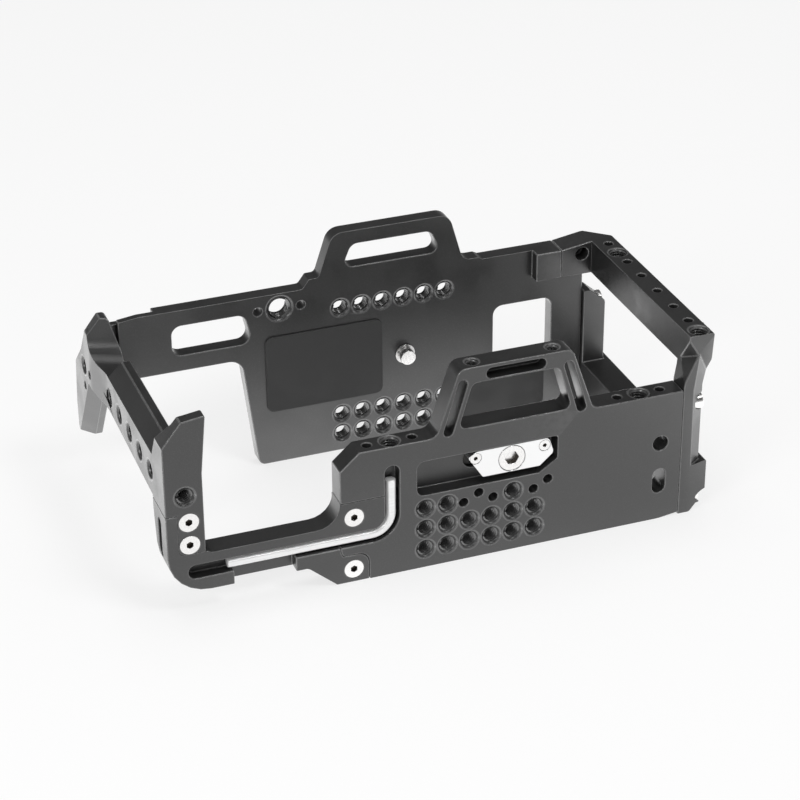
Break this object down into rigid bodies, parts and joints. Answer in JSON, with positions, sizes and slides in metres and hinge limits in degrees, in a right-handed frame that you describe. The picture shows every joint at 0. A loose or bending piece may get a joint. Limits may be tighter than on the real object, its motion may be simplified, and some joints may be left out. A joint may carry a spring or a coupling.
{
  "type": "camera cage",
  "caption": "Two-plate metal cage that closes round a wide camera body, with threaded accessory holes, a guard arch, a sliding tripod screw and a hex key in its channel.",
  "frame": {"origin": "middle of the footprint on which the cage lies on its back, at the height of that surface", "axes": "+Z is the way the lens looks, +Y goes from the camera's underside to its top, +X goes from the grip side to the port side"},
  "size_m": [0.2236, 0.1248, 0.0993],
  "materials": {
    "bottom_plate": "satin black anodised, fine bead-blasted",
    "grip_corner": "satin black anodised, fine bead-blasted",
    "grip_arm": "satin black anodised, fine bead-blasted",
    "top_plate": "satin black anodised, fine bead-blasted",
    "side_near_post": "satin black anodised, fine bead-blasted",
    "side_far_post": "satin black anodised, fine bead-blasted",
    "side_lower_rail": "satin black anodised, fine bead-blasted",
    "side_upper_rail": "satin black anodised, fine bead-blasted",
    "side_rail_end": "satin black anodised, fine bead-blasted",
    "side_corner_block": "satin black anodised, fine bead-blasted",
    "corner_screws": "bright nickel-plated steel",
    "arm_screws": "bright nickel-plated steel",
    "side_bottom_screws": "bright nickel-plated steel",
    "side_top_screws": "bright nickel-plated steel",
    "arm_top_screws": "bright nickel-plated steel",
    "screw_plate": "natural silver anodised",
    "screw_plate_screws": "bright nickel-plated steel",
    "screw_plate_keeper": "blackened spring steel strip",
    "camera_screw": "bright nickel-plated steel",
    "camera_screw_ring": "stamped stainless strip",
    "top_camera_screw": "bright nickel-plated steel",
    "top_screw_ring": "stamped stainless strip",
    "hex_wrench": "bright plated key steel, drawn along its length",
    "wrench_magnets": "nickel-plated magnet",
    "bottom_pads": "thin matt silicone",
    "top_pads": "thin matt silicone"
  },
  "bodies": {
    "cage": {"bottom_plate": "bottom_plate", "grip_corner": "grip_corner", "grip_arm": "grip_arm", "top_plate": "top_plate", "side_near_post": "side_near_post", "side_far_post": "side_far_post", "side_lower_rail": "side_lower_rail", "side_upper_rail": "side_upper_rail", "side_rail_end": "side_rail_end", "side_corner_block": "side_corner_block", "corner_screws": "corner_screws", "arm_screws": "arm_screws", "side_bottom_screws": "side_bottom_screws", "side_top_screws": "side_top_screws", "arm_top_screws": "arm_top_screws", "wrench_magnets": "wrench_magnets", "bottom_pads": "bottom_pads", "top_pads": "top_pads"},
    "slide": {"screw_plate": "screw_plate", "screw_plate_screws": "screw_plate_screws", "screw_plate_keeper": "screw_plate_keeper"},
    "tripod_screw": {"camera_screw": "camera_screw", "camera_screw_ring": "camera_screw_ring"},
    "top_screw": {"top_camera_screw": "top_camera_screw", "top_screw_ring": "top_screw_ring"},
    "key": {"hex_wrench": "hex_wrench"}
  },
  "joints": [
    {"name": "slide_along", "type": "slide", "parent": "cage", "child": "slide", "axis": [1, 0, 0], "range_m": [-0.014, 0]},
    {"name": "tripod_screw_turn", "type": "hinge", "parent": "slide", "child": "tripod_screw", "pos_m": [0.0276, -0.0574, 0.0406], "axis": [0, 1, 0], "continuous": true},
    {"name": "top_screw_turn", "type": "hinge", "parent": "cage", "child": "top_screw", "pos_m": [0.0198, 0.0366, 0.04], "axis": [0, 1, 0], "continuous": true},
    {"name": "key_lift", "type": "slide", "parent": "cage", "child": "key", "axis": [0, -1, 0], "range_m": [0, 0.02]}
  ]
}
